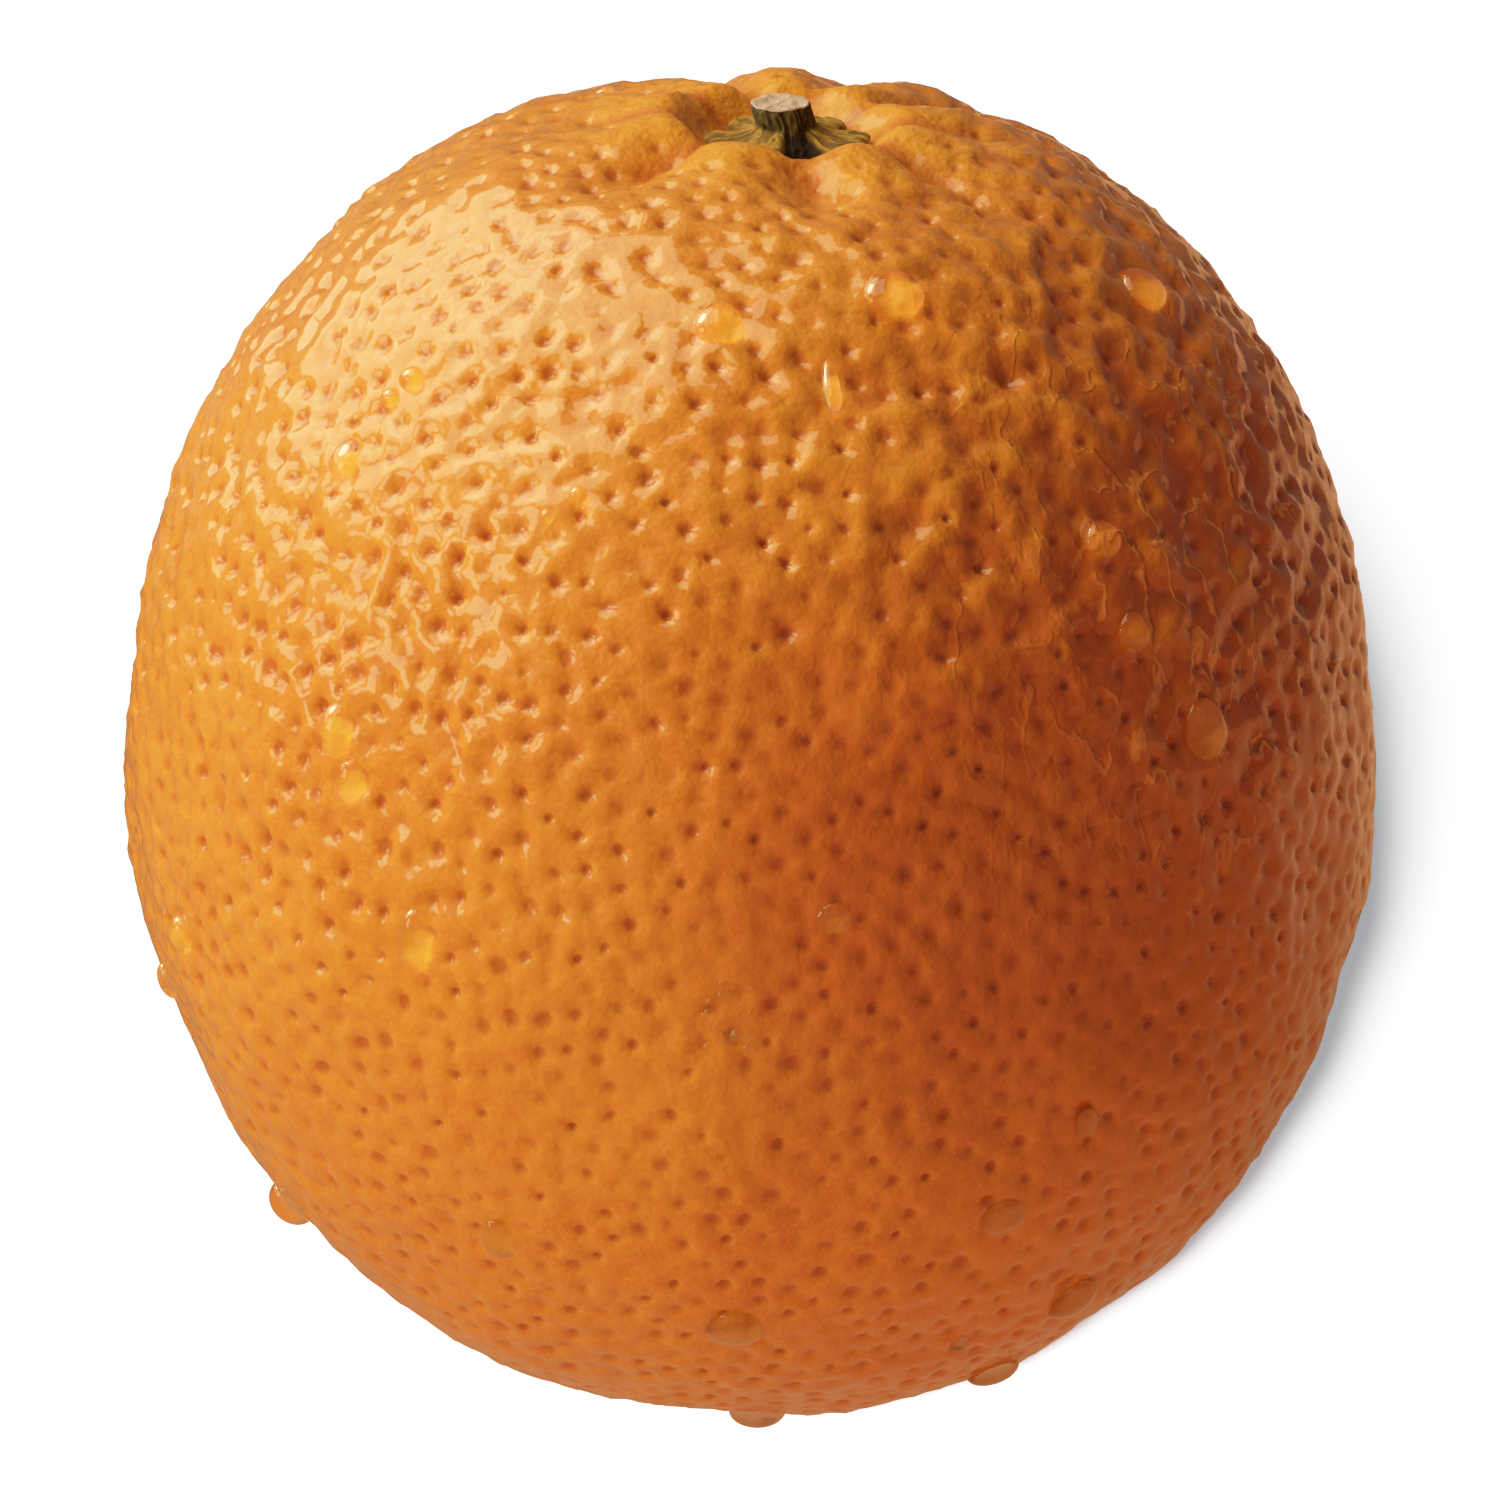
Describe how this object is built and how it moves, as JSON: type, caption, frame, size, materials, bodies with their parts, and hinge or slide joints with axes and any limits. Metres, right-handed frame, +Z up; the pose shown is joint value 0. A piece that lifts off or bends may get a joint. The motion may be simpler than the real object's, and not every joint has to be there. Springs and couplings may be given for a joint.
{
  "type": "orange",
  "caption": "Whole fresh orange with pitted rind, lobed hollow at the stem end and a woody calyx button, standing on its flower end.",
  "frame": {"origin": "on the resting face at the flower end, under the middle of the fruit", "axes": "+Z up, from the flower end to the stem end; the stem stands 2 mm off the middle along +X"},
  "size_m": [0.075, 0.0753, 0.0794],
  "materials": {
    "rind": "waxy orange rind, pitted by its oil glands",
    "calyx": "dry olive calyx with a pale cut stem",
    "water": "clear water drops that bead on the rind"
  },
  "bodies": {
    "root": {"fruit": "rind", "calyx": "calyx"}
  },
  "joints": []
}
